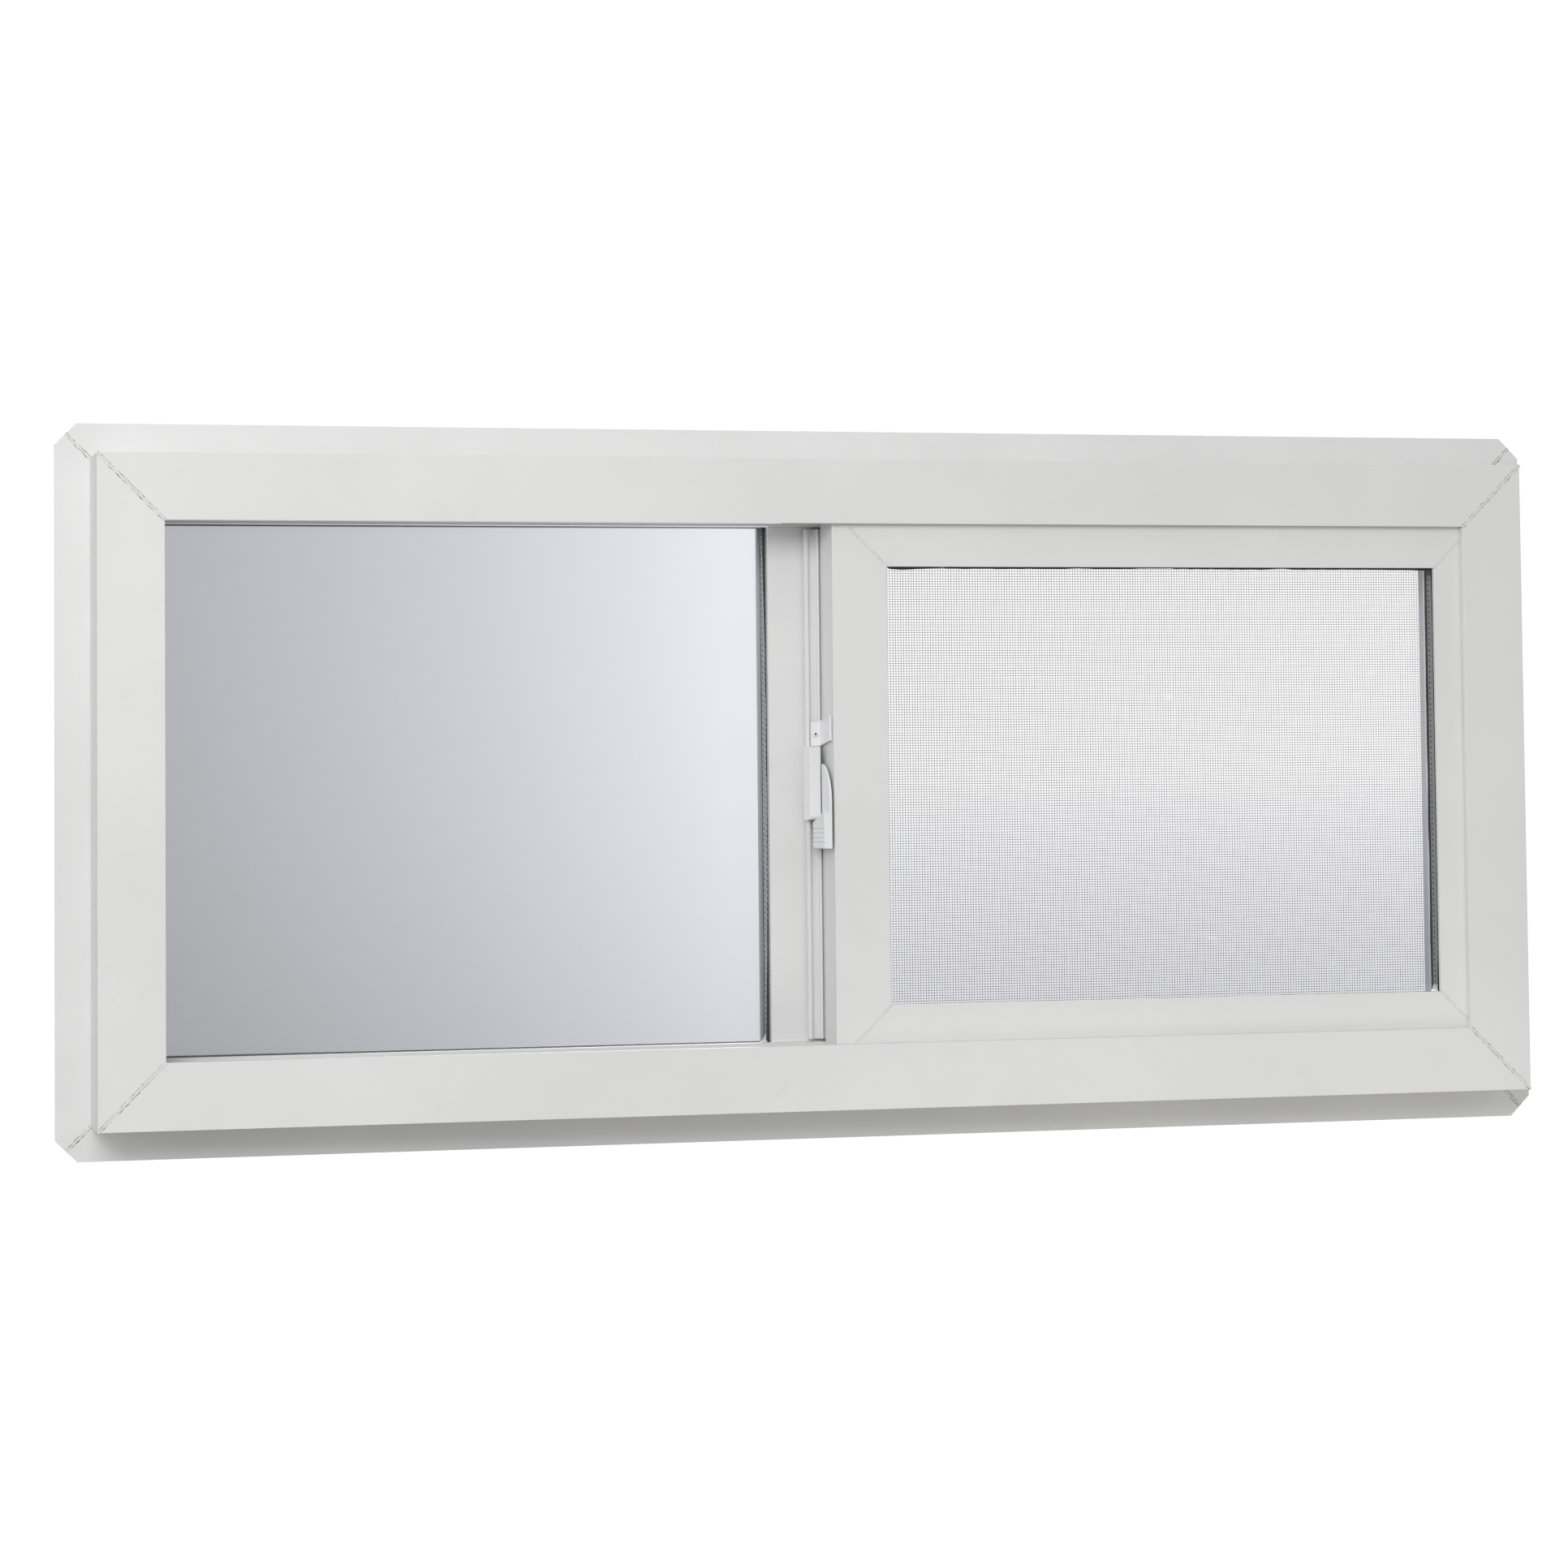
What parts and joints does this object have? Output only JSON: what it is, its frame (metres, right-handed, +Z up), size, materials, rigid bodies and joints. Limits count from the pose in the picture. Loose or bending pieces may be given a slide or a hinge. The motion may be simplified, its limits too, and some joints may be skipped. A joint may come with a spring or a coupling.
{
  "type": "sliding basement window",
  "caption": "Horizontal sliding basement window: white vinyl frame with a perimeter flange, a fixed insulated lite, a sliding sash with latch and an insect screen.",
  "frame": {"origin": "middle of the sill flange's bearing face, the face that is set against the outside of the wall", "axes": "+X along the width, to the right as seen from the room; +Y from the room to the outdoors; +Z up"},
  "size_m": [0.8438, 0.0698, 0.393],
  "materials": {
    "vinyl": "satin white vinyl extrusion",
    "bead_vinyl": "satin white vinyl extrusion",
    "glass": "clear float glass",
    "spacer_metal": "mill finish roll-formed spacer",
    "edge_seal": "black sealant",
    "latch_plastic": "moulded white plastic",
    "glide_nylon": "natural nylon",
    "pile": "grey pile weather strip",
    "screen_metal": "white coated roll-formed bar",
    "insect_mesh": "charcoal fibreglass mesh",
    "screen_spline": "vinyl cord"
  },
  "bodies": {
    "root": {"fixed_bead_bottom": "bead_vinyl", "fixed_bead_left": "bead_vinyl", "fixed_bead_right": "bead_vinyl", "fixed_bead_top": "bead_vinyl", "fixed_edge_seal": "edge_seal", "fixed_glass_inner": "glass", "fixed_glass_outer": "glass", "fixed_meeting_stile": "vinyl", "fixed_spacer": "spacer_metal", "frame_head": "vinyl", "frame_jamb_left": "vinyl", "frame_jamb_right": "vinyl", "frame_sill": "vinyl", "latch_bracket": "latch_plastic", "latch_housing": "latch_plastic", "latch_lever": "latch_plastic", "pile_head": "pile", "pile_jamb": "pile", "pile_meeting_stile": "pile", "pile_sill": "pile", "sash_bead_bottom": "bead_vinyl", "sash_bead_left": "bead_vinyl", "sash_bead_right": "bead_vinyl", "sash_bead_top": "bead_vinyl", "sash_bottom_rail": "vinyl", "sash_edge_seal": "edge_seal", "sash_glass_inner": "glass", "sash_glass_outer": "glass", "sash_glide_left": "glide_nylon", "sash_glide_right": "glide_nylon", "sash_meeting_stile": "vinyl", "sash_pull_stile": "vinyl", "sash_spacer": "spacer_metal", "sash_top_rail": "vinyl", "screen_frame_bottom": "screen_metal", "screen_frame_left": "screen_metal", "screen_frame_right": "screen_metal", "screen_frame_top": "screen_metal", "screen_mesh": "insect_mesh", "screen_spline": "screen_spline", "screen_stop_bottom": "bead_vinyl", "screen_stop_left": "bead_vinyl", "screen_stop_right": "bead_vinyl", "screen_stop_top": "bead_vinyl"}
  },
  "joints": []
}
